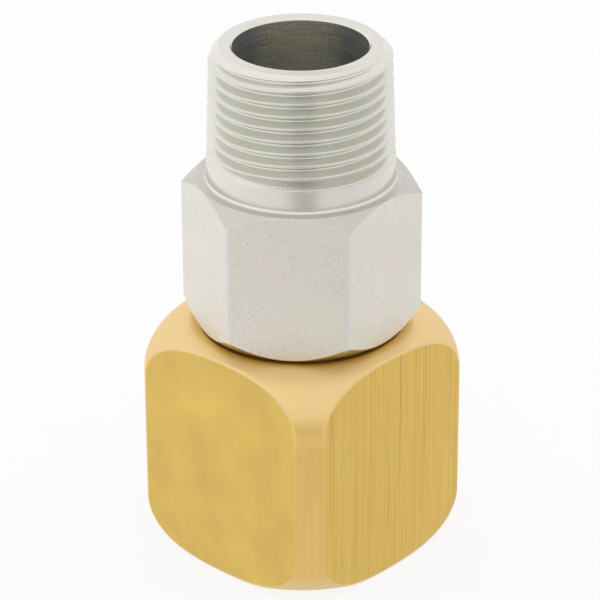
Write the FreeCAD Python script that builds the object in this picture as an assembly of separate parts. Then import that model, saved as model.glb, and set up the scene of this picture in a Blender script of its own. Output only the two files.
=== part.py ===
"""In-line swivel gas connector: a brass body with a female pipe thread, and a steel stem with a
hexagon and a male pipe thread that turns in it on a full row of bearing balls.

Millimetres. +Z is the axis of the gas way, and the origin is the middle of the body's lower face.
Both pipe threads are 1 in taper threads with 11 turns to the inch. The male one is cut as a
helix up its cone, and the female one is left plain, as its tap-drill bore. The stem turns about Z
with its seals and its guide ring.
"""
import math
import os

import FreeCAD
import Part

# Brass body: 1-3/4 in square bar with its corners and both ends turned
body_flats = 44.45
body_height = 44.45
corner_turned_off = 2.38
shoulder_radius = 10.0
shoulder_run = 8.25
base_shoulder_radius = 9.2
base_shoulder_run = 8.1
body_edge_soften = 0.7

# From a flat of the body inwards: the walls leave the bore of 1 in schedule 80 pipe, 24.3
body_wall = 5.725
running_clearance = 0.05
shank_wall = 4.3
gas_bore_edge_break = 0.4

# Female thread in the lower end of the body
port_tap_drill = 30.25
port_depth = 18.0
port_mouth = 34.0
port_web = 3.0

# Stem above the body: the hexagon is one bar size smaller than the body, 1-1/2 in
hex_under_body = 6.35
hex_standoff = 0.85
hex_height = 27.9
hex_top_bevel_deg = 41.4
hex_bottom_bevel_deg = 45.0
hex_corner_deg = 35.1
hex_corner_radius = 1.2
collar_diameter = 34.0
collar_height = 4.1
collar_foot_radius = 0.6

# Male thread: diameter over the crests at the small end, taper on the diameter, and form of the
# groove, a V with a round root
thread_small_end = 32.6
thread_length = 21.1
thread_taper = 1 / 16
thread_end_bevel = 1.8
thread_pitch = 25.4 / 11
thread_depth = 1.479
thread_root_radius = 0.317
thread_flank_deg = 27.5
thread_bearing_deg = 111.4
thread_runout_deg = 45.0

# Bearing: 5/32 in balls, loaded through a port in the wall, which a screw plug closes
ball_diameter = 3.969
ball_gap = 0.3
race_clearance = 0.045
plug_diameter = 6.0
plug_below_flat = 0.4
plug_rim_break = 0.3
plug_hole_break = 0.35
plug_key_flats = 3.0
plug_key_depth = 1.8

# Rings round the shank
ring_cord = 2.62
ring_squeeze = 0.15
ring_groove_slack = 0.4
seal_clearance = 0.04
seat_clearance = 0.02
washer_thickness = 1.2
washer_slack = 0.2
guide_width = 2.5
guide_thickness = 1.5
guide_split = 0.8
guide_split_deg = 45.0
wiper_wall = 1.9
wiper_depth = 2.0
wiper_lip = 0.7
wiper_lip_gap = 0.3
shank_lead = 0.6

# Radii and widths that follow
socket_r = body_flats / 2 - body_wall
shank_r = socket_r - running_clearance
bore_r = shank_r - shank_wall
hex_flats = body_flats - hex_under_body
corner_r = body_flats / math.sqrt(2) - corner_turned_off

thread_small_r = thread_small_end / 2
thread_large_r = thread_small_r + thread_length * thread_taper / 2

ball_r = ball_diameter / 2
race_r = ball_r + race_clearance
pitch_r = (socket_r + shank_r) / 2
ball_count = int(2 * math.pi * pitch_r / (ball_diameter + ball_gap))

ring_floor_r = socket_r - ring_cord * (1 - ring_squeeze)
ring_inner_r = ring_floor_r + seal_clearance
ring_outer_r = socket_r - seal_clearance
ring_side_r = (ring_outer_r - ring_inner_r) / 2
# The squeezed ring keeps the area of its round cord: round sides with a flat between them
ring_flat = (math.pi * (ring_cord / 2) ** 2 - math.pi * ring_side_r**2) / (2 * ring_side_r)
ring_groove_width = 2 * ring_side_r + ring_flat + ring_groove_slack
guide_floor_r = shank_r - guide_thickness
guide_groove_width = guide_width + 2 * seal_clearance

# Heights that follow, from the base up
web_top_z = port_depth + port_web
shank_end_z = web_top_z + washer_thickness + running_clearance
wiper_z = body_height - wiper_depth
hex_bottom_z = body_height + hex_standoff
hex_top_z = hex_bottom_z + hex_height
thread_start_z = hex_top_z + collar_height
top_z = thread_start_z + thread_length

# Five equal lands share what the two ring grooves, the race and the guide groove leave
grooves_total = 2 * ring_groove_width + 2 * race_r + guide_groove_width
land = (wiper_z - shank_end_z - grooves_total) / 5
lower_ring_z = shank_end_z + land + ring_groove_width / 2
upper_ring_z = lower_ring_z + ring_groove_width + land
race_z = upper_ring_z + ring_groove_width / 2 + land + race_r
guide_z = race_z + race_r + land + guide_groove_width / 2

FLAT_TOLERANCE = 1e-3
AXIS = FreeCAD.Vector(0, 0, 1)
ORIGIN = FreeCAD.Vector(0, 0, 0)


def line(start, end):
    """Straight edge of a half section, from (radius, z) to (radius, z)."""
    points = [FreeCAD.Vector(r, 0, z) for r, z in (start, end)]
    return Part.LineSegment(*points).toShape()


def bend(centre, radius, start_deg, end_deg):
    """Round edge of a half section about a (radius, z) centre; 0 degrees points outwards, 90 up."""
    angles = [math.radians(d) for d in (start_deg, (start_deg + end_deg) / 2, end_deg)]
    points = [
        FreeCAD.Vector(centre[0] + radius * math.cos(a), 0, centre[1] + radius * math.sin(a)) for a in angles
    ]
    return Part.Arc(*points).toShape()


def turned(edges):
    """Solid of revolution from the edges of a closed half section, in order."""
    return Part.Face(Part.Wire(edges)).revolve(ORIGIN, AXIS, 360)


def outline(points):
    """Straight edges through (radius, z) points and back to the first."""
    return [line(p, q) for p, q in zip(points, points[1:] + points[:1])]


def tube(inner_r, outer_r, low_z, high_z):
    """Plain ring between two radii and two heights."""
    return turned(outline([(inner_r, low_z), (outer_r, low_z), (outer_r, high_z), (inner_r, high_z)]))


def rod(radius, low_z, high_z):
    """Solid cylinder on the axis."""
    return Part.makeCylinder(radius, high_z - low_z, FreeCAD.Vector(0, 0, low_z), AXIS)


def cone(low_r, high_r, low_z, high_z):
    """Solid cone frustum on the axis."""
    return Part.makeCone(low_r, high_r, high_z - low_z, FreeCAD.Vector(0, 0, low_z), AXIS)


def hex_prism(flats, corner_deg, low_z, high_z):
    """Hexagonal prism on the axis, with one corner at the angle given."""
    radius = flats / 2 / math.cos(math.pi / 6)
    angles = [math.radians(corner_deg + 60 * i) for i in range(7)]
    corners = [FreeCAD.Vector(radius * math.cos(a), radius * math.sin(a), low_z) for a in angles]
    return Part.Face(Part.makePolygon(corners)).extrude(FreeCAD.Vector(0, 0, high_z - low_z))


def race():
    """The round groove of the balls, half in the shank and half in the socket."""
    return Part.makeTorus(pitch_r, race_r, FreeCAD.Vector(0, 0, race_z), AXIS)


def loading_port(radius, near, far):
    """Cylinder along the ball-loading port on the -X side, between two distances from the axis."""
    start = FreeCAD.Vector(-near, 0, race_z)
    return Part.makeCylinder(radius, far - near, start, FreeCAD.Vector(-1, 0, 0))


def loading_port_mouth(near_r, far_r, near, far):
    """Cone along the same port, between two distances from the axis."""
    start = FreeCAD.Vector(-near, 0, race_z)
    return Part.makeCone(near_r, far_r, far - near, start, FreeCAD.Vector(-1, 0, 0))


def shoulder(radius, run):
    """Centre radius, end angle and height of a round shoulder that is tangent to the corners."""
    end_deg = math.degrees(math.acos(1 - run / radius))
    return corner_r - radius, end_deg, radius * math.sin(math.radians(end_deg))


def turned_barrel():
    """What turning leaves of the bar: a round shoulder at each end, tangent to the corners."""
    base_r, base_deg, base_rise = shoulder(base_shoulder_radius, base_shoulder_run)
    top_r, top_deg, top_rise = shoulder(shoulder_radius, shoulder_run)
    base_land_r = corner_r - base_shoulder_run
    top_land_r = corner_r - shoulder_run
    return turned([
        line((0, 0), (base_land_r, 0)),
        bend((base_r, base_rise), base_shoulder_radius, -base_deg, 0),
        line((corner_r, base_rise), (corner_r, body_height - top_rise)),
        bend((top_r, body_height - top_rise), shoulder_radius, 0, top_deg),
        line((top_land_r, body_height), (0, body_height)),
        line((0, body_height), (0, 0)),
    ])


def on_a_flat(edge):
    """True for the edges where the turned barrel meets one of the bar's four flats."""
    places = [vertex.Point for vertex in edge.Vertexes]
    on_x = all(abs(abs(p.x) - body_flats / 2) < FLAT_TOLERANCE for p in places)
    on_y = all(abs(abs(p.y) - body_flats / 2) < FLAT_TOLERANCE for p in places)
    return on_x or on_y


def body_blank():
    """Square bar inside the turned barrel, with its edges broken."""
    low_corner = FreeCAD.Vector(-body_flats / 2, -body_flats / 2, 0)
    bar = Part.makeBox(body_flats, body_flats, body_height, low_corner)
    blank = bar.common(turned_barrel())
    return blank.makeFillet(body_edge_soften, [e for e in blank.Edges if on_a_flat(e)])


def swivel_body():
    """Body with the port, the web, the socket, the outer race and the loading port."""
    mouth_r = port_mouth / 2
    drill_r = port_tap_drill / 2
    shape = body_blank()
    shape = shape.cut(rod(drill_r, 0, port_depth))
    shape = shape.cut(cone(mouth_r, drill_r, 0, mouth_r - drill_r))
    shape = shape.cut(rod(bore_r, port_depth, web_top_z))
    shape = shape.cut(rod(socket_r, web_top_z, body_height))
    shape = shape.cut(rod(socket_r + wiper_wall, wiper_z, body_height))
    shape = shape.cut(race())
    hole_r, flat = plug_diameter / 2, body_flats / 2
    shape = shape.cut(loading_port(hole_r, pitch_r - race_r, flat))
    return shape.cut(loading_port_mouth(hole_r, hole_r + plug_hole_break, flat - plug_hole_break, flat))


def hexagon():
    """Wrench hexagon with rounded corners and turned bevels at both ends."""
    flat_r = hex_flats / 2
    overrun = 2 * (flat_r / math.cos(math.pi / 6) - flat_r)
    top_drop = overrun * math.tan(math.radians(hex_top_bevel_deg))
    bottom_rise = overrun * math.tan(math.radians(hex_bottom_bevel_deg))
    envelope = turned(outline([
        (0, hex_bottom_z),
        (flat_r, hex_bottom_z),
        (flat_r + overrun, hex_bottom_z + bottom_rise),
        (flat_r + overrun, hex_top_z - top_drop),
        (flat_r, hex_top_z),
        (0, hex_top_z),
    ]))
    bar = hex_prism(hex_flats, hex_corner_deg, hex_bottom_z, hex_top_z)
    corners = [edge for edge in bar.Edges if abs(edge.Length - hex_height) < FLAT_TOLERANCE]
    return bar.makeFillet(hex_corner_radius, corners).common(envelope)


def thread_groove():
    """The groove of the male thread, swept up a right-hand helix from a turn below its lower end to
    a turn past the end face."""
    slope = thread_taper / 2
    low_z = thread_start_z - thread_pitch
    crest_r = thread_large_r + thread_pitch * slope
    flank = math.radians(thread_flank_deg)
    root_centre = crest_r - thread_depth + thread_root_radius
    tangent_r = root_centre - thread_root_radius * math.sin(flank)
    tangent_z = thread_root_radius * math.cos(flank)
    mouth_r = crest_r + thread_depth / 2
    mouth_z = tangent_z + (mouth_r - tangent_r) * math.tan(flank)
    profile = Part.Wire([
        bend((root_centre, low_z), thread_root_radius, 90 + thread_flank_deg, 270 - thread_flank_deg),
        line((tangent_r, low_z - tangent_z), (mouth_r, low_z - mouth_z)),
        line((mouth_r, low_z - mouth_z), (mouth_r, low_z + mouth_z)),
        line((mouth_r, low_z + mouth_z), (tangent_r, low_z + tangent_z)),
    ])
    height = thread_length + 2 * thread_pitch
    helix = Part.makeLongHelix(thread_pitch, height, crest_r, -math.degrees(math.atan(slope)))
    helix.translate(FreeCAD.Vector(0, 0, low_z))
    groove = Part.Wire(helix.Edges).makePipeShell([profile], True, True)
    groove.rotate(ORIGIN, AXIS, thread_bearing_deg)
    return groove


def male_thread():
    """Threaded cone with its end bevel. The groove runs out on a slope above the collar."""
    bevel_r = thread_small_r + thread_end_bevel * thread_taper / 2
    blank = turned(outline([
        (0, thread_start_z),
        (thread_large_r, thread_start_z),
        (bevel_r, top_z - thread_end_bevel),
        (thread_small_r - thread_end_bevel, top_z),
        (0, top_z),
    ]))
    runout_r = thread_large_r - 1.5 * thread_depth
    runout_z = thread_start_z + (thread_large_r - runout_r) * math.tan(math.radians(thread_runout_deg))
    runout = cone(thread_large_r, runout_r, thread_start_z, runout_z)
    return blank.cut(thread_groove()).fuse(runout)


def nipple():
    """Collar with a round foot, and the male thread above it."""
    collar_r = collar_diameter / 2
    foot = collar_foot_radius
    fillet = turned([
        line((collar_r - foot, hex_top_z), (collar_r + foot, hex_top_z)),
        bend((collar_r + foot, hex_top_z + foot), foot, 270, 180),
        line((collar_r, hex_top_z + foot), (collar_r - foot, hex_top_z + foot)),
        line((collar_r - foot, hex_top_z + foot), (collar_r - foot, hex_top_z)),
    ])
    return rod(collar_r, hex_top_z, thread_start_z).fuse([fillet, male_thread()])


def shank():
    """The journal in the socket, with its lead bevel, two ring grooves, guide groove and race."""
    shape = turned(outline([
        (0, shank_end_z),
        (shank_r - shank_lead, shank_end_z),
        (shank_r, shank_end_z + shank_lead),
        (shank_r, hex_bottom_z),
        (0, hex_bottom_z),
    ]))
    grooves = [
        (lower_ring_z, ring_groove_width, ring_floor_r),
        (upper_ring_z, ring_groove_width, ring_floor_r),
        (guide_z, guide_groove_width, guide_floor_r),
    ]
    for middle_z, width, floor_r in grooves:
        shape = shape.cut(tube(floor_r, socket_r, middle_z - width / 2, middle_z + width / 2))
    return shape.cut(race())


def stem():
    """Shank, hexagon and nipple in one piece, bored through."""
    shape = shank().fuse([hexagon(), nipple()]).removeSplitter()
    shape = shape.cut(rod(bore_r, shank_end_z, top_z))
    wide_r = bore_r + gas_bore_edge_break
    shape = shape.cut(cone(bore_r, wide_r, top_z - gas_bore_edge_break, top_z))
    return shape.cut(cone(wide_r, bore_r, shank_end_z, shank_end_z + gas_bore_edge_break))


def bearing_ball(index):
    """One ball of the row, from half a step off +X round the race."""
    angle = 2 * math.pi * (index + 0.5) / ball_count
    centre = FreeCAD.Vector(pitch_r * math.cos(angle), pitch_r * math.sin(angle), race_z)
    return Part.makeSphere(ball_r, centre)


def ball_plug():
    """Screw plug of the loading port: its tip carries on the socket wall and the outer race."""
    outer = body_flats / 2 - plug_below_flat
    plug_r = plug_diameter / 2 - seat_clearance
    rim = outer - plug_rim_break
    shape = loading_port(plug_r, pitch_r - race_r, rim)
    shape = shape.fuse(loading_port_mouth(plug_r, plug_r - plug_rim_break, rim, outer))
    shape = shape.cut(rod(socket_r, race_z - plug_diameter, race_z + plug_diameter))
    key = hex_prism(plug_key_flats, 0, 0, plug_key_depth)
    turn = FreeCAD.Rotation(FreeCAD.Vector(0, 1, 0), 90)
    key.Placement = FreeCAD.Placement(FreeCAD.Vector(-outer, 0, race_z), turn)
    return shape.cut(race()).cut(key)


def o_ring(middle_z):
    """Rubber ring as it sits squeezed between the groove floor and the socket."""
    middle_r = (ring_inner_r + ring_outer_r) / 2
    low_z = middle_z - ring_flat / 2
    high_z = middle_z + ring_flat / 2
    return turned([
        line((ring_outer_r, low_z), (ring_outer_r, high_z)),
        bend((middle_r, high_z), ring_side_r, 0, 180),
        line((ring_inner_r, high_z), (ring_inner_r, low_z)),
        bend((middle_r, low_z), ring_side_r, 180, 360),
    ])


def thrust_washer():
    """Flat washer between the web of the body and the end of the shank."""
    return tube(bore_r + washer_slack, socket_r - washer_slack, web_top_z, web_top_z + washer_thickness)


def guide_ring():
    """Bearing strip in the shank's upper groove, split on a slant so that it can be sprung on."""
    low_z = guide_z - guide_width / 2
    outer_r = shank_r + running_clearance / 2
    ring = tube(guide_floor_r + seat_clearance, outer_r, low_z, low_z + guide_width)
    corner = FreeCAD.Vector(-guide_split / 2, guide_floor_r - guide_thickness, -2 * guide_width)
    slit = Part.makeBox(guide_split, 3 * guide_thickness, 4 * guide_width, corner)
    slit.rotate(ORIGIN, FreeCAD.Vector(0, 1, 0), guide_split_deg)
    slit.translate(FreeCAD.Vector(0, 0, guide_z))
    return ring.cut(slit)


def dust_wiper():
    """Rubber ring in the mouth of the socket, with a lip that reaches up to the hexagon."""
    inner_r = socket_r + seat_clearance
    outer_r = socket_r + wiper_wall - seat_clearance
    lip_r = (inner_r + outer_r - wiper_lip) / 2
    lip_z = hex_bottom_z - wiper_lip_gap
    shoulder_z = body_height - wiper_lip / 2
    return turned(outline([
        (inner_r, wiper_z),
        (outer_r, wiper_z),
        (outer_r, shoulder_z),
        (lip_r + wiper_lip, shoulder_z),
        (lip_r + wiper_lip, lip_z),
        (lip_r, lip_z),
        (lip_r, shoulder_z),
        (inner_r, shoulder_z),
    ]))


def pieces():
    """Every piece of the connector by its name."""
    made = {
        "swivel_body": swivel_body(),
        "ball_plug": ball_plug(),
        "thrust_washer": thrust_washer(),
        "dust_wiper": dust_wiper(),
        "stem": stem(),
        "o_ring_lower": o_ring(lower_ring_z),
        "o_ring_upper": o_ring(upper_ring_z),
        "guide_ring": guide_ring(),
    }
    for index in range(ball_count):
        made[f"ball_{index + 1:02d}"] = bearing_ball(index)
    return made


def main():
    os.makedirs("parts", exist_ok=True)
    for name, shape in pieces().items():
        shape.exportStep(f"parts/{name}.step")


main()
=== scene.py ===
"""Visual model of the swivel gas connector: a brass body, and a steel stem with a pipe thread.

Metres, in the frame of the CAD. +Z is the axis of the gas way and z = 0 is the base of the body.
"""
import math

import bpy
from bpy.props import FloatProperty, FloatVectorProperty, IntProperty, PointerProperty
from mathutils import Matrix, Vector


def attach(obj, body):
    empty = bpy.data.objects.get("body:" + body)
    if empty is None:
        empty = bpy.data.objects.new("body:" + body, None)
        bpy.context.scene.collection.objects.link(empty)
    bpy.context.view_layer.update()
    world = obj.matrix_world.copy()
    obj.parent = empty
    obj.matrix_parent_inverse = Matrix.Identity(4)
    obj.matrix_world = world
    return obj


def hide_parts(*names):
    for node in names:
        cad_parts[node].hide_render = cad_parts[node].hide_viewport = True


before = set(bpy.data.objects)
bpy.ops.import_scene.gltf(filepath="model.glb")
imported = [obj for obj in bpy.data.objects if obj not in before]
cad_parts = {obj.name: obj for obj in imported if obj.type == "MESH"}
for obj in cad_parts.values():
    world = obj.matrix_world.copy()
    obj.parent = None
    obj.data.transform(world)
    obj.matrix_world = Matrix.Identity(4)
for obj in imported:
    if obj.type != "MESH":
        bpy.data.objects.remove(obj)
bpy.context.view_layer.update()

bl_info = {
    "name": "Swivel gas connector",
    "version": (1, 0, 0),
    "blender": (4, 5, 0),
    "location": "3D Viewport > Sidebar > Connector",
    "description": "Builds the pieces, finishes and stage of a swivel gas connector",
    "category": "Object",
}

MM = 0.001
MERGE = 1e-7
HAIR = 0.001 * MM
SMOOTH = math.radians(32)


def length(name, description, millimetres):
    """A size that a user may change, given in millimetres and kept in metres."""
    return FloatProperty(
        name=name, description=description, default=millimetres * MM, subtype="DISTANCE",
        unit="LENGTH", precision=5,
    )


def angle(name, description, degrees):
    """An angle that a user may change, given in degrees."""
    return FloatProperty(
        name=name, description=description, default=math.radians(degrees), subtype="ANGLE",
        unit="ROTATION",
    )


def colour(name, description, red, green, blue):
    """A colour that a user may change, in linear light."""
    return FloatVectorProperty(
        name=name, description=description, default=(red, green, blue), subtype="COLOR",
        min=0.0, max=1.0,
    )


class BodySizes(bpy.types.PropertyGroup):
    """Sizes of the brass body."""

    flats: length("Flats", "Width across the flats of the bar", 44.45)
    height: length("Height", "Height of the body", 44.45)
    corner_radius: length("Corner radius", "Distance of a turned corner from the axis", 29.0509)
    top_land: length("Top land", "Outer edge of the flat ring at the top", 20.8009)
    land_rise: length("Land rise", "Rise of the top land towards the wiper", 0.4)
    top_shoulder: length("Top shoulder", "Round of the turned shoulder at the top", 10.0)
    base_land: length("Base land", "Outer edge of the flat ring at the base", 20.9509)
    base_shoulder: length("Base shoulder", "Round of the turned shoulder at the base", 9.2)
    soften: length("Edge round", "Round of the edges between the flats and the turning", 0.7)
    socket_radius: length("Socket radius", "Bore that the shank turns in", 16.5)
    wiper_radius: length("Wiper seat radius", "Counterbore of the dust wiper", 18.4)
    wiper_depth: length("Wiper seat depth", "Depth of that counterbore", 2.0)
    web_bottom: length("Web underside", "Height of the end of the port", 18.0)
    web_top: length("Web top", "Height of the floor of the socket", 21.0)
    port_radius: length("Port radius", "Tap-drill radius of the port", 15.125)
    mouth_radius: length("Port mouth radius", "Radius of the port's bevelled mouth", 17.0)
    gas_way_radius: length("Gas way radius", "Hole through the web", 12.15)
    plug_radius: length("Plug hole radius", "Radius of the hole that the balls go in by", 3.0)


class RaceSizes(bpy.types.PropertyGroup):
    """Sizes of the round groove that the balls run in, half in the body and half in the stem."""

    height: length("Race height", "Height of the row of balls", 35.1136)
    pitch_radius: length("Row radius", "Radius of the row of balls", 16.475)
    groove_radius: length("Groove round", "Radius of the groove's own round", 2.0295)


class StemSizes(bpy.types.PropertyGroup):
    """Sizes of the steel stem."""

    bore_radius: length("Bore radius", "Radius of the gas way", 12.15)
    bore_break: length("Bore bevel", "Bevel at both ends of the gas way", 0.4)
    shank_radius: length("Shank radius", "Radius of the journal", 16.45)
    shank_end: length("Shank end", "Height of the shank's lower end", 22.25)
    shank_lead: length("Shank lead", "Bevel at the shank's lower end", 0.6)
    ring_floor: length("Ring groove floor", "Radius under the O-rings", 14.273)
    ring_width: length("Ring groove width", "Width of an O-ring groove", 3.3718)
    lower_ring: length("Lower ring height", "Height of the lower O-ring", 25.2994)
    upper_ring: length("Upper ring height", "Height of the upper O-ring", 30.0347)
    guide_floor: length("Guide groove floor", "Radius under the guide ring", 14.95)
    guide_width: length("Guide groove width", "Width of the guide ring's groove", 2.58)
    guide_height: length("Guide height", "Height of the guide ring", 39.7965)
    hex_flats: length("Hexagon flats", "Width across the flats of the hexagon", 38.1)
    hex_corner: angle("Hexagon corner", "Bearing of one corner of the hexagon", 35.1)
    hex_bottom: length("Hexagon underside", "Height of the hexagon's lower face", 45.3)
    hex_top: length("Hexagon top", "Height of the hexagon's upper face", 73.2)
    top_bevel: angle("Top bevel", "Slope of the bevel at the top of the hexagon", 41.4)
    bottom_bevel: angle("Bottom bevel", "Slope of the bevel under the hexagon", 45.0)
    hex_soften: length("Hexagon rim round", "Round of the rims of the hexagon's flats", 0.3)
    hex_round: length("Hexagon corner round", "Round of the hexagon's six corners", 1.2)
    collar_radius: length("Collar radius", "Radius of the plain collar", 17.0)
    collar_foot: length("Collar foot", "Round where the collar meets the hexagon", 0.6)
    thread_start: length("Thread start", "Height where the thread ends at the collar", 77.3)
    top: length("Top", "Height of the end face", 98.4)
    thread_small: length("Small end radius", "Crest radius of the thread at the top", 16.3)
    end_bevel: length("End bevel", "Bevel of the threaded end", 1.8)


class ThreadSizes(bpy.types.PropertyGroup):
    """Form of the pipe thread, the same outside and inside: a V with a round root."""

    pitch: length("Pitch", "Distance between turns", 25.4 / 11)
    depth: length("Depth", "Height of a crest above its root", 1.479)
    root_radius: length("Root round", "Radius at the bottom of the groove", 0.317)
    crest_radius: length("Crest round", "Radius of the edges of a crest", 0.15)
    flank: angle("Flank", "Lean of a flank from square to the axis", 27.5)
    slope: FloatProperty(
        name="Taper", description="Loss of radius for each unit of height", default=1 / 32
    )
    bearing: angle("Bearing", "Turn of the outer thread about the axis", 111.4)
    runout: angle("Run-out", "Slope that the outer thread ends on", 45.0)
    major_radius: length(
        "Port thread radius", "Root radius of the port's thread at its mouth", 16.6245
    )
    steps: IntProperty(name="Steps", description="Faces to a turn", default=144, min=24)


class Finishes(bpy.types.PropertyGroup):
    """Colours of the metals, rubbers and plastics."""

    plate: colour("Plated steel", "Satin plated bar of the hexagon", 0.82, 0.793, 0.725)
    turned_plate: colour("Turned plated steel", "Collar, thread and end face", 0.78, 0.762, 0.70)
    bored_steel: colour("Bored steel", "Inside of the gas way", 0.68, 0.66, 0.59)
    drawn_brass: colour("Drawn brass", "Flats of the body", 0.765, 0.522, 0.1435)
    turned_brass: colour("Turned brass", "Shoulders and corners of the body", 0.88, 0.65, 0.305)
    ball: colour("Ball steel", "Bearing balls", 0.60, 0.60, 0.62)
    plug: colour("Blackened steel", "Screw plug", 0.11, 0.11, 0.115)
    rubber: colour("Rubber", "O-rings", 0.028, 0.028, 0.03)
    wiper: colour("Amber rubber", "Dust wiper", 0.42, 0.27, 0.08)
    guide: colour("Guide plastic", "Guide ring", 0.30, 0.17, 0.07)
    washer: colour("Washer plastic", "Thrust washer", 0.80, 0.78, 0.72)


class StageSizes(bpy.types.PropertyGroup):
    """Camera and stage."""

    lens: FloatProperty(name="Lens", description="Focal length", default=194.64, unit="CAMERA")
    distance: length("Distance", "Camera to the point it looks at", 592.4)
    azimuth: angle("Azimuth", "Bearing of the camera", 42.5)
    elevation: angle("Elevation", "Camera above the horizon", 26.38)
    aim: length("Aim", "Height that the camera looks at", 48.1)
    roll: angle("Roll", "Turn of the camera about its line of sight", -0.26)
    shift: FloatProperty(name="Shift", description="Sideways shift of the frame", default=-0.0028)
    floor: length("Floor", "Half width of the floor", 3000.0)


class Value:
    """A number that changes over a surface. Arithmetic on it adds Math nodes."""

    def __init__(self, graph, socket):
        self.graph = graph
        self.socket = socket

    def math(self, operation, *operands):
        return self.graph.node(
            "ShaderNodeMath", {"operation": operation}, dict(enumerate(operands))
        )

    def __add__(self, other):
        return self.math("ADD", self, other)

    __radd__ = __add__

    def __sub__(self, other):
        return self.math("SUBTRACT", self, other)

    def __rsub__(self, other):
        return self.math("SUBTRACT", other, self)

    def __mul__(self, other):
        return self.math("MULTIPLY", self, other)

    __rmul__ = __mul__

    def __truediv__(self, other):
        return self.math("DIVIDE", self, other)

    def __pow__(self, other):
        return self.math("POWER", self, other)

    def __abs__(self):
        return self.math("ABSOLUTE", self)

    def over(self, low, high):
        """0 below low, 1 above high, and a smooth step between."""
        return self.graph.node(
            "ShaderNodeMapRange",
            {"interpolation_type": "SMOOTHSTEP"},
            {"Value": self, "From Min": low, "From Max": high, "To Min": 0.0, "To Max": 1.0},
        )

    def between(self, low, full, fading, high):
        """0 outside low and high, 1 from full to fading, and a smooth step on each side."""
        return self.over(low, full) * (1.0 - self.over(fading, high))


class Graph:
    """The nodes of a material or of the world."""

    def __init__(self, owner):
        owner.use_nodes = True
        self.tree = owner.node_tree
        self.tree.nodes.clear()

    def node(self, kind, settings=None, inputs=None, output=0):
        """Adds a node: its settings first, then its sockets' values or links."""
        made = self.tree.nodes.new(kind)
        for name, setting in (settings or {}).items():
            setattr(made, name, setting)
        for name, given in (inputs or {}).items():
            if isinstance(given, Value):
                self.tree.links.new(given.socket, made.inputs[name])
            else:
                made.inputs[name].default_value = given
        return Value(self, made.outputs[output]) if len(made.outputs) else made

    def position(self):
        """Object coordinates in millimetres."""
        place = self.node("ShaderNodeTexCoord", output="Object")
        return self.node(
            "ShaderNodeVectorMath", {"operation": "SCALE"}, {0: place, "Scale": 1 / MM}
        )

    def split(self, vector):
        parts = self.node("ShaderNodeSeparateXYZ", inputs={0: vector})
        return [Value(self, parts.socket.node.outputs[i]) for i in range(3)]

    def join(self, x, y, z):
        return self.node("ShaderNodeCombineXYZ", inputs={0: x, 1: y, 2: z})

    def noise(self, vector, scale, detail=2.0, roughness=0.5):
        return self.node(
            "ShaderNodeTexNoise",
            inputs={"Vector": vector, "Scale": scale, "Detail": detail, "Roughness": roughness},
        )

    def mix(self, factor, first, second):
        """Two colours mixed."""
        return self.node(
            "ShaderNodeMix", {"data_type": "RGBA"}, {0: factor, 6: first, 7: second}, output=2
        )

    def shade(self, tint, factor):
        """A colour made lighter or darker by a number."""
        return self.node("ShaderNodeVectorMath", {"operation": "SCALE"}, {0: tint, "Scale": factor})

    def surface(self, shader, target="ShaderNodeOutputMaterial"):
        self.node(target, inputs={"Surface": shader})


def opaque(tint):
    return (*tint, 1.0)


def varied(tint, red, green, blue):
    """A tint with its red, green and blue each made stronger or weaker."""
    return opaque((tint[0] * red, tint[1] * green, tint[2] * blue))


def metal(name, paint):
    """A metal from paint(graph, place, x, y, z, r), which gives its colour and roughness, and the
    height of its texture with the depth of a height of 1, in millimetres."""
    material = bpy.data.materials.new(name)
    graph = Graph(material)
    place = graph.position()
    x, y, z = graph.split(place)
    r = (x * x + y * y) ** 0.5
    tint, roughness, height, depth = paint(graph, place, x, y, z, r)
    bump = graph.node(
        "ShaderNodeBump", inputs={"Strength": 1.0, "Distance": depth * MM, "Height": height}
    )
    graph.surface(graph.node(
        "ShaderNodeBsdfPrincipled",
        inputs={"Base Color": tint, "Metallic": 1.0, "Roughness": roughness, "Normal": bump},
    ))
    return material


def satin_plate(tint, edge):
    """Plated bar stock: soft clouds of tint, a sandy grain of dark pits and painted glints, and
    corners polished by handling.
    Edge is a corner's distance from the axis, in millimetres."""

    def paint(graph, place, x, y, z, r):
        clouds = graph.noise(place, 0.12, 3.0)
        warm = graph.noise(place, 0.07, 2.0).over(0.4, 0.6)
        grain = graph.noise(place, 3.5, 2.0, 0.6)
        pits = graph.noise(place, 3.7, 2.0, 0.6).over(0.57, 0.68)
        painted_glint_specks = graph.noise(graph.join(x + 40.0, y, z), 3.7, 2.0, 0.6).over(0.57, 0.68)
        corner = r.over(edge - 0.29, edge - 0.05)
        sandy = graph.noise(place, 0.13, 2.0).over(0.36, 0.52) * (1.0 - 0.8 * corner)
        base = graph.mix(warm, varied(tint, 0.985, 1.0, 0.98), varied(tint, 1.015, 0.99, 0.99))
        base = graph.mix(corner, base, varied(tint, 0.965, 0.98, 1.01))
        # Painted highlights: the glint specks make the colour lighter.
        level = 0.89 + 0.10 * clouds + 0.16 * grain + sandy * (0.12 * painted_glint_specks - 0.26 * pits)
        height = grain + 0.5 * painted_glint_specks - 0.8 * pits
        return graph.shade(base, level), 0.46 + 0.12 * grain - 0.05 * corner, height, 0.012

    return metal("satin_plate", paint)


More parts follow.
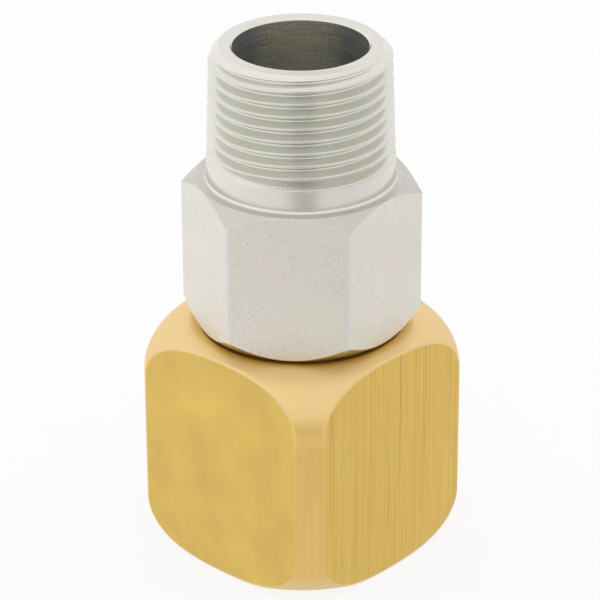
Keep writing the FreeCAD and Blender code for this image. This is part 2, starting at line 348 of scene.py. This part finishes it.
def turned_plate(tint, sizes, slope):
    """Plated steel from the lathe: fine tool rings, painted light as a lighter grey-green tint down
    in the thread grooves, painted shade over the threaded length and over the end face, deepest
    on its side towards the camera, and a darker, rougher top bevel and face of the hexagon."""
    start, top, small = sizes.thread_start / MM, sizes.top / MM, sizes.thread_small / MM
    middle, sill = (sizes.hex_bottom + sizes.hex_top) / 2 / MM, sizes.hex_top / MM

    def paint(graph, place, x, y, z, r):
        rings = graph.noise(graph.join(r * 9.0, x * 0.05, z * 9.0), 1.0, 2.0, 0.6)
        coarse = graph.noise(graph.join(r * 2.0, x * 0.03, z * 2.0), 1.0, 1.0)
        clouds = graph.noise(place, 0.12, 2.0)
        nicks = graph.noise(graph.join(x, y, z * 3.0), 1.6, 2.0, 0.6)
        cut = z.between(start - 0.2, start + 0.4, top - 2.2, top - 1.2)
        crest = small + slope * (top - z)
        # Painted light: deep in the thread grooves the colour turns a lighter, greener grey.
        painted_groove_light = (crest - r).over(0.15, 1.1) * cut
        base = graph.mix(painted_groove_light, opaque(tint), varied(tint, 1.0, 1.03, 1.015))
        # Darker and rougher on the hexagon's top bevel and face.
        hex_top_band = z.between(middle, middle + 1.0, sill, sill + 0.2)
        # Painted shade: the end face is darker, most on its side towards the camera.
        faced = z.over(top - 0.1, top - 0.02)
        painted_front_shade = (x - y).over(13.0, 20.0)
        level = 0.84 + 0.08 * clouds + 0.14 * rings + 0.10 * nicks
        # Painted shade: the threaded length is made 5% darker.
        level = level - 0.18 * hex_top_band - faced * (0.05 + 0.13 * painted_front_shade) - 0.05 * cut
        rough = 0.20 + 0.10 * rings + 0.16 * hex_top_band
        return graph.shade(base, level), rough, rings + 0.6 * coarse, 0.004

    return metal("turned_plate", paint)


def bored_steel(tint, sizes):
    """Inside of a drilled and reamed hole: dull, with rings from the tool, a painted warm
    reflection on the side away from the camera with bluer grey elsewhere, and a little paler deep
    down."""
    top = sizes.top / MM

    def paint(graph, place, x, y, z, r):
        rings = graph.noise(graph.join(x * 0.12, y * 0.12, z * 4.0), 1.0, 3.0, 0.65)
        specks = graph.noise(graph.join(x, y, z * 2.0), 2.8, 2.0, 0.6).over(0.35, 0.65)
        # Painted reflection: the wall away from the camera is warmer and lighter, the rest bluer
        # and darker.
        painted_warm_reflection = (y - x).over(11.5, 16.5)
        base = graph.mix(painted_warm_reflection, varied(tint, 0.80, 0.88, 1.0), varied(tint, 1.34, 1.24, 1.08))
        deeper = 1.0 - z.over(top - 12.4, top - 0.4)
        level = 0.25 + 0.95 * rings + 0.34 * specks + 0.22 * deeper
        return graph.shade(base, level), 0.34 + 0.16 * rings, rings, 0.012

    return metal("bored_steel", paint)


def drawn_brass(name, tint, across):
    """Flats of drawn bar. Across 0 gives the sides that carry draw lines, 1 the cloudy ones."""

    def paint(graph, place, x, y, z, r):
        run = y if across == 0 else x
        fine = graph.noise(graph.join(run * 5.0, 0.0, z * 0.05), 1.0, 3.0, 0.7)
        clouds = graph.noise(place, 0.12, 3.0, 0.5)
        green = clouds.over(0.4, 0.62)
        base = graph.mix(green, opaque(tint), varied(tint, 0.98, 1.02, 0.94))
        if across == 0:
            broad = graph.noise(graph.join(run * 0.8, 0.0, z * 0.03), 1.0, 2.0, 0.5)
            group = graph.noise(graph.join(run * 0.35, 7.0, z * 0.01), 1.0, 1.0).over(0.45, 0.55)
            lines = graph.noise(graph.join(run * 4.0, 4.0, z * 0.012), 1.0, 2.0).over(0.54, 0.62)
            base = graph.mix(lines, base, varied(tint, 1.04, 0.93, 0.80))
            level = 0.75 + 0.36 * fine + 0.20 * broad - lines * (0.05 + 0.16 * group)
            return graph.shade(base, level), 0.28 + 0.12 * fine, fine - 0.5 * lines, 0.006
        mottle = graph.noise(place, 0.5, 3.0, 0.6)
        level = 0.79 + 0.36 * clouds + 0.05 * mottle + 0.04 * fine
        return graph.shade(base, level), 0.32 + 0.1 * mottle, mottle + 0.2 * fine, 0.004

    return metal(name, paint)


def turned_brass(tint, sizes):
    """Turned shoulders and corners: paler metal with faint rings, rosier down the corners, lighter
    at the top of these, and painted shade on the land round the wiper, under the hexagon."""
    reach, top = sizes.corner_radius / MM, sizes.height / MM
    bend = (sizes.height - sizes.top_shoulder) / MM

    def paint(graph, place, x, y, z, r):
        rings = graph.noise(graph.join(r * 6.0, x * 0.05, z * 6.0), 1.0, 2.0, 0.6)
        clouds = graph.noise(place, 0.15, 2.0)
        drawn = graph.noise(graph.join(x * 1.6, y * 1.6, z * 0.06), 1.0, 3.0, 0.6)
        corner = r.over(reach - 1.45, reach - 0.15)
        corner_top_lighter = z.over(bend - 3.45, bend + 1.05)
        painted_shade_under_hex = z.over(top - 0.05, top + 0.3)
        base = graph.mix(corner, opaque(tint), varied(tint, 0.945, 0.875, 0.64))
        # Painted shade: the land under the hexagon is darker and a deeper gold.
        base = graph.mix(painted_shade_under_hex, base, varied(tint, 0.84, 0.71, 0.38))
        level = 0.95 + 0.07 * clouds + 0.03 * rings
        level = level + corner * (0.14 * (drawn - 0.35) + 0.11 * corner_top_lighter)
        return graph.shade(base, level), 0.42 + 0.06 * rings, rings, 0.002

    return metal("turned_brass", paint)


def bored_brass(tint):
    """Brass inside the port and socket, with rings from the boring tool."""

    def paint(graph, place, x, y, z, r):
        rings = graph.noise(graph.join(r * 4.0, x * 0.08, z * 6.0), 1.0, 3.0, 0.6)
        level = 0.85 + 0.15 * rings
        return graph.shade(tint, level), 0.28 + 0.12 * rings, rings, 0.008

    return metal("bored_brass", paint)


def moulded(name, tint, roughness, metallic=0.0, grain=2.5):
    """Rubber, plastic or small steel parts: an even colour with a fine grain."""
    material = bpy.data.materials.new(name)
    graph = Graph(material)
    place = graph.position()
    fine = graph.noise(place, grain, 3.0, 0.6)
    clouds = graph.noise(place, 0.3, 2.0)
    bump = graph.node(
        "ShaderNodeBump", inputs={"Strength": 1.0, "Distance": 0.004 * MM, "Height": fine}
    )
    graph.surface(graph.node("ShaderNodeBsdfPrincipled", inputs={
        "Base Color": graph.shade(tint, 0.9 + 0.1 * clouds + 0.1 * fine),
        "Metallic": metallic,
        "Roughness": roughness + 0.1 * fine,
        "Normal": bump,
    }))
    return material


def only(piece):
    """Selects one object and nothing else."""
    bpy.ops.object.select_all(action="DESELECT")
    piece.select_set(True)
    bpy.context.view_layer.objects.active = piece


def arc(centre, radius, start, end, steps):
    """(radius, z) points along an arc, by angles in degrees: 0 points outwards and 90 up."""
    turns = [math.radians(start + (end - start) * i / steps) for i in range(steps + 1)]
    return [(centre[0] + radius * math.cos(t), centre[1] + radius * math.sin(t)) for t in turns]


def lip_angle(wall, race):
    """Where the balls' round groove meets a wall of this radius, in degrees above outwards."""
    return math.degrees(math.acos((wall - race.pitch_radius) / race.groove_radius))


def turned(name, profile, steps):
    """A closed half section of (radius, z) points, spun round the axis."""
    bpy.ops.object.select_all(action="DESELECT")
    bpy.ops.mesh.primitive_circle_add(vertices=len(profile), radius=MM, fill_type="NOTHING")
    piece = bpy.context.active_object
    piece.name = piece.data.name = name
    for vertex, (radius, height) in zip(piece.data.vertices, profile):
        vertex.co = (radius, 0.0, height)
    bpy.ops.object.mode_set(mode="EDIT")
    bpy.ops.mesh.select_all(action="SELECT")
    bpy.ops.mesh.spin(steps=steps, angle=2 * math.pi, center=(0, 0, 0), axis=(0, 0, 1))
    tidy_shell()
    bpy.ops.object.mode_set(mode="OBJECT")
    return piece


def tidy_shell():
    """In edit mode: merges doubles and points every face outwards."""
    bpy.ops.mesh.select_all(action="SELECT")
    bpy.ops.mesh.remove_doubles(threshold=MERGE)
    bpy.ops.mesh.normals_make_consistent(inside=False)


def pick_faces(piece, wanted):
    """Selects the faces for which wanted(face) holds, in object mode."""
    for part in (piece.data.vertices, piece.data.edges):
        part.foreach_set("select", [False] * len(part))
    for face in piece.data.polygons:
        face.select = wanted(face)


def mill_flats(piece, bearings, distance, soften, turn, steps, close):
    """Planes flats across the piece at a distance from the axis, then rounds their rims. Points of
    a rim that lie closer together than close are merged first."""
    level, square_on = distance - soften * (1 - math.cos(turn)), 0.9999
    directions = [Vector((math.cos(bearing), math.sin(bearing), 0.0)) for bearing in bearings]
    only(piece)
    bpy.ops.object.mode_set(mode="EDIT")
    bpy.ops.mesh.select_mode(type="FACE")
    for outward in directions:
        bpy.ops.mesh.select_all(action="SELECT")
        bpy.ops.mesh.bisect(
            plane_co=outward * level, plane_no=outward, use_fill=True, clear_outer=True,
            threshold=MERGE,
        )
    for outward in directions:
        bpy.ops.object.mode_set(mode="OBJECT")
        pick_faces(piece, lambda face: (
            face.normal.dot(outward) > square_on and face.center.dot(outward) > level - HAIR
        ))
        bpy.ops.object.mode_set(mode="EDIT")
        bpy.ops.mesh.remove_doubles(threshold=close)
        for step in range(steps):
            before, after = turn * (1 - step / steps), turn * (1 - (step + 1) / steps)
            bpy.ops.mesh.inset(thickness=soften * (math.sin(before) - math.sin(after)), depth=0.0)
            lift = soften * (math.cos(after) - math.cos(before))
            bpy.ops.transform.translate(value=outward * lift, orient_type="GLOBAL")
    bpy.ops.object.mode_set(mode="OBJECT")


def round_corners(piece, bearings, centre, radius, half, steps):
    """Planes narrow facets down the corners of a bar, all touching a round of this radius."""
    only(piece)
    bpy.ops.object.mode_set(mode="EDIT")
    bpy.ops.mesh.select_mode(type="FACE")
    for bearing in bearings:
        for step in range(steps):
            turn = half * ((2 * step + 1) / steps - 1)
            outward = Vector((math.cos(bearing + turn), math.sin(bearing + turn), 0.0))
            bpy.ops.mesh.select_all(action="SELECT")
            bpy.ops.mesh.bisect(
                plane_co=outward * (centre * math.cos(turn) + radius), plane_no=outward,
                use_fill=True, clear_outer=True, threshold=MERGE,
            )
    bpy.ops.object.mode_set(mode="OBJECT")


def carve(piece, cutter):
    """Cuts another solid out of a piece, and then removes that solid."""
    only(piece)
    bpy.ops.object.modifier_add(type="BOOLEAN")
    modifier = piece.modifiers[-1]
    modifier.operation = "DIFFERENCE"
    modifier.solver = "EXACT"
    modifier.object = cutter
    bpy.ops.object.modifier_apply(modifier=modifier.name)
    bpy.data.objects.remove(cutter)


def groove(form, bottom, side, crest_radius):
    """V with a round root, as (radius, height) points, carried on past the crest as a band. Side 1
    opens away from the axis."""
    lean, steps = math.pi / 2 - form.flank, 3
    clear, band = 0.02 * MM, 0.8 * MM
    turns = [lean * step / steps for step in range(steps + 1)]
    half = [
        (form.root_radius * (1 - math.cos(turn)), form.root_radius * math.sin(turn))
        for turn in turns
    ]
    point = form.root_radius * (1 / math.sin(form.flank) - 1)
    wide = (form.depth + point) * math.tan(form.flank) + crest_radius * math.tan(lean / 2)
    half += [
        (form.depth - crest_radius * (1 - math.cos(turn)), wide - crest_radius * math.sin(turn))
        for turn in reversed(turns[1:])
    ]
    half += [(form.depth + clear, wide), (form.depth + band, wide)]
    mirrored = [(rise, -width) for rise, width in reversed(half[1:])]
    return [(bottom + side * rise, width) for rise, width in mirrored + half]


def thread_cutter(name, form, outline, turns, start, bearing):
    """A closed outline of (radius, z) points swept up a right-hand helix, with closed ends."""
    bpy.ops.object.select_all(action="DESELECT")
    bpy.ops.mesh.primitive_circle_add(vertices=len(outline), radius=MM, fill_type="NOTHING")
    cutter = bpy.context.active_object
    cutter.name = name
    for vertex, (radius, height) in zip(cutter.data.vertices, outline):
        vertex.co = (radius * math.cos(bearing), radius * math.sin(bearing), start + height)
    bpy.ops.object.modifier_add(type="SCREW")
    screw = cutter.modifiers[-1]
    screw.axis = "Z"
    screw.angle = 2 * math.pi
    screw.screw_offset = form.pitch
    screw.iterations = turns
    screw.steps = screw.render_steps = form.steps
    screw.use_merge_vertices = False
    bpy.ops.object.modifier_apply(modifier=screw.name)
    for vertex in cutter.data.vertices:
        radius = math.hypot(vertex.co.x, vertex.co.y)
        share = (radius - form.slope * (vertex.co.z - start)) / radius
        vertex.co.x *= share
        vertex.co.y *= share
    bpy.ops.object.mode_set(mode="EDIT")
    bpy.ops.mesh.select_all(action="SELECT")
    bpy.ops.mesh.fill_holes(sides=0)
    tidy_shell()
    bpy.ops.object.mode_set(mode="OBJECT")
    return cutter


def finish_piece(piece, body, nodes, materials, chooser):
    """Smooths a piece, gives each face its material, and hangs it on its CAD body."""
    only(piece)
    bpy.ops.object.mode_set(mode="EDIT")
    tidy_shell()
    bpy.ops.object.mode_set(mode="OBJECT")
    bpy.ops.object.shade_smooth_by_angle(angle=SMOOTH)
    bpy.ops.object.modifier_add(type="WEIGHTED_NORMAL")
    piece.modifiers[-1].keep_sharp = True
    bpy.ops.object.modifier_apply(modifier=piece.modifiers[-1].name)
    piece.data.materials.clear()
    for material in materials:
        piece.data.materials.append(material)
    for face in piece.data.polygons:
        face.material_index = chooser(face)
    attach(piece, body)
    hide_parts(*nodes)


class CONNECTOR_OT_stage(bpy.types.Operator):
    """Camera, floor, background and soft lamps"""

    bl_idname = "connector.stage"
    bl_label = "Stage"

    def execute(self, context):
        sizes = context.scene.connector_stage
        across, along = math.cos(sizes.elevation), math.sin(sizes.elevation)
        back = Vector((
            math.sin(sizes.azimuth) * across, -math.cos(sizes.azimuth) * across, along
        ))
        aim = Vector((0.0, 0.0, sizes.aim))
        bpy.ops.object.camera_add(location=aim + back * sizes.distance)
        camera = context.active_object
        camera.rotation_euler = (-back).to_track_quat("-Z", "Y").to_euler()
        camera.rotation_euler.rotate_axis("Z", sizes.roll)
        camera.data.lens = sizes.lens
        camera.data.shift_x = sizes.shift
        camera.data.clip_start, camera.data.clip_end = 0.01, 20.0
        context.scene.camera = camera
        context.scene.view_settings.view_transform = "Standard"

        gap = 0.05 * MM
        bpy.ops.mesh.primitive_plane_add(size=2 * sizes.floor, location=(0, 0, -gap))
        floor = context.active_object
        floor.name = "floor"
        floor.data.materials.append(self.floor_paper(sizes.azimuth))
        self.lamps()
        self.background(context.scene, sizes.azimuth)
        return {"FINISHED"}

    @staticmethod
    def seen(graph):
        """1 for what the camera or a reflection sees."""
        rays = graph.node("ShaderNodeLightPath").socket.node.outputs
        eye, mirror, glass = [
            Value(graph, rays[f"Is {kind} Ray"]) for kind in ("Camera", "Glossy", "Transmission")
        ]
        return eye.math("MAXIMUM", eye, mirror.math("MAXIMUM", mirror, glass))

    @staticmethod
    def white(graph, towards, front):
        """White to the eye. Metals see it as the inside of a tent of white cloth, a little dimmer
        low down on the front, with a dim strip at its opening and a soft hollow at its foot."""
        x, y, z = graph.split(
            graph.node("ShaderNodeVectorMath", {"operation": "NORMALIZE"}, {0: towards})
        )
        forward = x * math.sin(front) - y * math.cos(front)
        sideways = x * math.cos(front) + y * math.sin(front)
        aside = sideways / forward
        strip = (1.0 - abs(aside - 0.06).over(0.10, 0.40)) * forward.over(0.2, 0.5)
        strip = strip * z.between(-0.45, -0.32, -0.1, 0.2)
        hollow = (1.0 - abs(aside).over(0.1, 0.8)) * forward.over(0.3, 0.7)
        hollow = hollow * z.between(-0.27, -0.17, 0.0, 0.2)
        low = 1.0 - z.over(-0.1, 0.4)
        cloth = 1.0 - 0.06 * sideways - low * (0.12 * forward.over(-0.6, 0.6) + 0.34 * strip)
        cloth = cloth - 0.22 * hollow
        rays = graph.node("ShaderNodeLightPath").socket.node.outputs
        mirrored = Value(graph, rays["Is Glossy Ray"])
        return graph.shade((1.0, 1.0, 1.0), 1.0 - (1.0 - cloth) * mirrored)

    def floor_paper(self, front):
        """White paper: bright to the eye, plain to the light, and clear from below."""
        material = bpy.data.materials.new("floor_paper")
        graph = Graph(material)
        place = graph.position()
        fibres = graph.noise(place, 0.8, 3.0)
        paper = graph.node("ShaderNodeBsdfPrincipled", inputs={
            "Base Color": graph.shade((0.9, 0.9, 0.9), 0.97 + 0.04 * fibres),
            "Roughness": 0.9,
        })
        half_way_up = (0.0, 0.0, 50.0)
        towards = graph.node(
            "ShaderNodeVectorMath", {"operation": "SUBTRACT"}, {0: place, 1: half_way_up}
        )
        glow = graph.node("ShaderNodeEmission", inputs={
            "Color": self.white(graph, towards, front), "Strength": 1.0,
        })
        top = graph.node(
            "ShaderNodeMixShader", inputs={0: 0.85 * self.seen(graph), 1: paper, 2: glow}
        )
        below = graph.node("ShaderNodeNewGeometry", output="Backfacing")
        clear = graph.node("ShaderNodeBsdfTransparent")
        graph.surface(graph.node("ShaderNodeMixShader", inputs={0: below, 1: top, 2: clear}))
        return material

    @staticmethod
    def lamps():
        """Two large soft boxes behind the object and one above it, outside the white tent."""
        aim = Vector((0, 0, 0.05))
        for name, place, size, power in (
            ("lamp_left", (-0.9, -0.25, 0.75), 0.9, 1.6),
            ("lamp_right", (0.45, 0.95, 0.75), 0.9, 1.4),
            ("lamp_top", (0.1, -0.1, 1.3), 1.2, 3.0),
        ):
            bpy.ops.object.light_add(type="AREA", location=place)
            lamp = bpy.context.active_object
            lamp.name = name
            lamp.data.shape = "SQUARE"
            lamp.data.size = size
            lamp.data.energy = power
            lamp.visible_glossy = False
            lamp.rotation_euler = (aim - Vector(place)).to_track_quat("-Z", "Y").to_euler()

    def background(self, scene, front):
        """White to the eye and in reflections, and a plain soft light on everything."""
        world = bpy.data.worlds.new("soft_room")
        scene.world = world
        graph = Graph(world)
        light = graph.node("ShaderNodeBackground", inputs={
            "Color": opaque((1, 1, 1)), "Strength": 0.75,
        })
        towards = graph.node("ShaderNodeTexCoord", output="Generated")
        white = graph.node("ShaderNodeBackground", inputs={
            "Color": self.white(graph, towards, front), "Strength": 1.0,
        })
        graph.surface(
            graph.node("ShaderNodeMixShader", inputs={0: self.seen(graph), 1: light, 2: white}),
            "ShaderNodeOutputWorld",
        )


class CONNECTOR_OT_brass_body(bpy.types.Operator):
    """Turned and bored body of square bar, with its flats, port thread and loading hole"""

    bl_idname = "connector.brass_body"
    bl_label = "Brass body"

    STEPS = 240
    SHOULDER_STEPS = 24
    RACE_STEPS = 16
    HOLE_STEPS = 96
    PORT_TURNS = 8

    def execute(self, context):
        sizes = context.scene.connector_body
        race = context.scene.connector_race
        piece = turned("brass_body", self.half_section(sizes, race), self.STEPS)
        carve(piece, self.port_thread(context.scene.connector_thread))
        quarters = [quarter * math.pi / 2 for quarter in range(4)]
        mill_flats(
            piece, quarters, sizes.flats / 2, sizes.soften, turn=math.radians(45), steps=4,
            close=0.3 * MM,
        )
        carve(piece, self.loading_hole(sizes, race))
        finishes = context.scene.connector_finishes
        materials = [
            turned_brass(finishes.turned_brass, sizes),
            drawn_brass("drawn_brass_lined", finishes.drawn_brass, 0),
            drawn_brass("drawn_brass_cloudy", finishes.drawn_brass, 1),
            bored_brass(finishes.turned_brass),
        ]
        half = sizes.flats / 2 - MERGE

        def chooser(face):
            if abs(face.normal.x) > 0.999 and abs(face.center.x) > half:
                return 1
            if abs(face.normal.y) > 0.999 and abs(face.center.y) > half:
                return 2
            inside = math.hypot(face.center.x, face.center.y) < sizes.wiper_radius + MERGE
            off_hole = math.hypot(face.center.y, face.center.z - race.height)
            bored = off_hole < sizes.plug_radius * 1.02 and abs(face.normal.x) < 0.3
            return 3 if inside or (bored and face.center.x < -sizes.wiper_radius) else 0

        finish_piece(piece, "body", ["swivel_body"], materials, chooser)
        return {"FINISHED"}

    def half_section(self, sizes, race):
        """Outline of the body from the bottom land outwards, over the top and down the bore."""
        shoulders = []
        for land, radius in (
            (sizes.base_land, sizes.base_shoulder), (sizes.top_land, sizes.top_shoulder)
        ):
            centre = sizes.corner_radius - radius
            end = math.acos((land - centre) / radius)
            shoulders.append((centre, radius, math.degrees(end), radius * math.sin(end)))
        (low, low_radius, low_end, low_rise), (high, high_radius, high_end, high_rise) = shoulders
        bevel, brim = sizes.mouth_radius - sizes.port_radius, 0.5 * MM
        lip, row = lip_angle(sizes.socket_radius, race), (race.pitch_radius, race.height)
        return [
            *arc((low, low_rise), low_radius, -low_end, 0, self.SHOULDER_STEPS),
            *arc((high, sizes.height - high_rise), high_radius, 0, high_end, self.SHOULDER_STEPS),
            (sizes.wiper_radius + brim, sizes.height + sizes.land_rise),
            (sizes.wiper_radius, sizes.height + sizes.land_rise),
            (sizes.wiper_radius, sizes.height - sizes.wiper_depth),
            (sizes.socket_radius, sizes.height - sizes.wiper_depth),
            *arc(row, race.groove_radius, lip, -lip, self.RACE_STEPS),
            (sizes.socket_radius, sizes.web_top),
            (sizes.gas_way_radius, sizes.web_top),
            (sizes.gas_way_radius, sizes.web_bottom),
            (sizes.port_radius, sizes.web_bottom),
            (sizes.port_radius, bevel),
            (sizes.mouth_radius, 0.0),
        ]

    def port_thread(self, form):
        """Cutter for the thread in the port, from a little below its mouth."""
        start = -1.5 * MM
        outline = groove(form, form.major_radius - start * form.slope, -1, 0.0)
        return thread_cutter("port_cutter", form, outline, self.PORT_TURNS, start, 0.0)

    def loading_hole(self, sizes, race):
        """Cutter for the hole that the balls go in by, with a broken edge at its mouth."""
        hole, near, reach, edge = sizes.plug_radius, 14.4 * MM, sizes.flats / 2, 0.35 * MM
        cutter = turned("hole_cutter", [
            (0.0, near), (hole, near), (hole, reach - edge), (hole + 2 * edge, reach + edge),
            (0.0, reach + edge),
        ], self.HOLE_STEPS)
        cutter.rotation_euler = (0.0, -math.pi / 2, 0.0)
        cutter.location = (0.0, 0.0, race.height)
        only(cutter)
        bpy.ops.object.transform_apply(location=True, rotation=True, scale=True)
        return cutter


class CONNECTOR_OT_stem(bpy.types.Operator):
    """Shank, hexagon, collar and threaded nipple in one piece"""

    bl_idname = "connector.stem"
    bl_label = "Steel stem"

    STEPS = 192
    RACE_STEPS = 16
    FOOT_STEPS = 6
    THREAD_TURNS = 12

    def execute(self, context):
        sizes = context.scene.connector_stem
        form = context.scene.connector_thread
        race = context.scene.connector_race
        piece = turned("steel_stem", self.half_section(sizes, form, race), self.STEPS)
        carve(piece, self.cutter(sizes, form))
        corners = [sizes.hex_corner + math.radians(60 * side) for side in range(6)]
        half = math.radians(30)
        centre = (sizes.hex_flats / 2 - sizes.hex_round) / math.cos(half)
        round_corners(piece, corners, centre, sizes.hex_round, half, steps=5)
        sides = [corner + half for corner in corners]
        mill_flats(
            piece, sides, sizes.hex_flats / 2, sizes.hex_soften, turn=half, steps=3,
            close=0.12 * MM,
        )
        finishes = context.scene.connector_finishes
        materials = [
            turned_plate(finishes.turned_plate, sizes, form.slope),
            satin_plate(finishes.plate, (centre + sizes.hex_round) / MM),
            bored_steel(finishes.bored_steel, sizes),
        ]

        def chooser(face):
            reach = math.hypot(face.center.x, face.center.y)
            if reach < sizes.bore_radius + 10 * HAIR:
                return 2
            on_bar = sizes.hex_bottom < face.center.z < sizes.hex_top and abs(face.normal.z) < 0.5
            return 1 if on_bar and reach > sizes.collar_radius + sizes.collar_foot else 0

        finish_piece(piece, "stem", ["stem"], materials, chooser)
        return {"FINISHED"}

    def half_section(self, sizes, form, race):
        """Outline of the stem, from the lower end up the outside and down the bore. The bevels of
        the hexagon start a little inside its flats and run on past its corners."""
        inset, overrun = 0.1 * MM, 3.0 * MM
        flat = sizes.hex_flats / 2 - inset
        large = sizes.thread_small + (sizes.top - sizes.thread_start) * form.slope
        bevel = sizes.thread_small + sizes.end_bevel * form.slope
        lip, row = lip_angle(sizes.shank_radius, race), (race.pitch_radius, race.height)
        points = [
            (sizes.bore_radius + sizes.bore_break, sizes.shank_end),
            (sizes.shank_radius - sizes.shank_lead, sizes.shank_end),
            (sizes.shank_radius, sizes.shank_end + sizes.shank_lead),
        ]
        for height in (sizes.lower_ring, sizes.upper_ring):
            points += [
                (sizes.shank_radius, height - sizes.ring_width / 2),
                (sizes.ring_floor, height - sizes.ring_width / 2),
                (sizes.ring_floor, height + sizes.ring_width / 2),
                (sizes.shank_radius, height + sizes.ring_width / 2),
            ]
        points += arc(row, race.groove_radius, -lip, lip - 360, self.RACE_STEPS)
        points += [
            (sizes.shank_radius, sizes.guide_height - sizes.guide_width / 2),
            (sizes.guide_floor, sizes.guide_height - sizes.guide_width / 2),
            (sizes.guide_floor, sizes.guide_height + sizes.guide_width / 2),
            (sizes.shank_radius, sizes.guide_height + sizes.guide_width / 2),
            (sizes.shank_radius, sizes.hex_bottom),
            (flat, sizes.hex_bottom),
            (flat + overrun, sizes.hex_bottom + overrun * math.tan(sizes.bottom_bevel)),
            (flat + overrun, sizes.hex_top - overrun * math.tan(sizes.top_bevel)),
            (flat, sizes.hex_top),
        ]
        points += arc(
            (sizes.collar_radius + sizes.collar_foot, sizes.hex_top + sizes.collar_foot),
            sizes.collar_foot, 270, 180, self.FOOT_STEPS,
        )
        points += [
            (sizes.collar_radius, sizes.thread_start),
            (large, sizes.thread_start),
            (bevel, sizes.top - sizes.end_bevel),
            (sizes.thread_small - sizes.end_bevel, sizes.top),
            (sizes.bore_radius + sizes.bore_break, sizes.top),
            (sizes.bore_radius, sizes.top - sizes.bore_break),
            (sizes.bore_radius, sizes.shank_end + sizes.bore_break),
        ]
        return points

    def cutter(self, sizes, form):
        """Cutter for the outer thread, which ends on a slope all round at the collar."""
        start, foot = sizes.thread_start - form.pitch, sizes.thread_start
        crest = sizes.thread_small + (sizes.top - start) * form.slope
        outline = groove(form, crest - form.depth, 1, form.crest_radius)
        made = thread_cutter("die", form, outline, self.THREAD_TURNS, start, form.bearing)
        large = sizes.thread_small + (sizes.top - foot) * form.slope
        run, wide, below = 4 * MM, 22 * MM, foot - 8 * MM
        inner, rise = large - run, run * math.tan(form.runout)
        guard = turned("guard", [
            (inner, below), (wide, below), (wide, foot), (large, foot), (inner, foot + rise),
        ], form.steps)
        carve(made, guard)
        return made


class CONNECTOR_OT_small_parts(bpy.types.Operator):
    """Finishes of the balls, rings, washer, wiper and plug that stay as the CAD has them"""

    bl_idname = "connector.small_parts"
    bl_label = "Small parts"

    def execute(self, context):
        finishes = context.scene.connector_finishes
        for starts, material in (
            ("ball_0 ball_1 ball_2", moulded("ball_steel", finishes.ball, 0.08, 1.0, 1.0)),
            ("ball_plug", moulded("plug_steel", finishes.plug, 0.32, 1.0)),
            ("o_ring", moulded("seal_rubber", finishes.rubber, 0.55)),
            ("dust_wiper", moulded("wiper_rubber", finishes.wiper, 0.42)),
            ("guide_ring", moulded("guide_plastic", finishes.guide, 0.4)),
            ("thrust_washer", moulded("washer_plastic", finishes.washer, 0.35)),
        ):
            for name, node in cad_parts.items():
                if name.startswith(tuple(starts.split())):
                    for place in node.material_slots:
                        place.material = material
        return {"FINISHED"}


class CONNECTOR_PT_panel(bpy.types.Panel):
    """Lists the pieces of the connector"""

    bl_idname = "CONNECTOR_PT_panel"
    bl_label = "Swivel gas connector"
    bl_space_type = "VIEW_3D"
    bl_region_type = "UI"
    bl_category = "Connector"

    def draw(self, context):
        for operator in OPERATORS:
            self.layout.operator(operator.bl_idname)
        for group in GROUPS:
            box = self.layout.box()
            values = getattr(context.scene, group)
            for name in values.__annotations__:
                box.prop(values, name)


OPERATORS = (
    CONNECTOR_OT_stage,
    CONNECTOR_OT_brass_body,
    CONNECTOR_OT_stem,
    CONNECTOR_OT_small_parts,
)
GROUPS = {
    "connector_body": BodySizes,
    "connector_race": RaceSizes,
    "connector_stem": StemSizes,
    "connector_thread": ThreadSizes,
    "connector_finishes": Finishes,
    "connector_stage": StageSizes,
}


def register():
    for made in (*GROUPS.values(), *OPERATORS, CONNECTOR_PT_panel):
        bpy.utils.register_class(made)
    for name, group in GROUPS.items():
        setattr(bpy.types.Scene, name, PointerProperty(type=group))


def unregister():
    for name in GROUPS:
        delattr(bpy.types.Scene, name)
    for made in reversed((*GROUPS.values(), *OPERATORS, CONNECTOR_PT_panel)):
        bpy.utils.unregister_class(made)


def main():
    register()
    bpy.ops.connector.stage()
    bpy.ops.connector.brass_body()
    bpy.ops.connector.stem()
    bpy.ops.connector.small_parts()


if __name__ == "__main__":
    main()
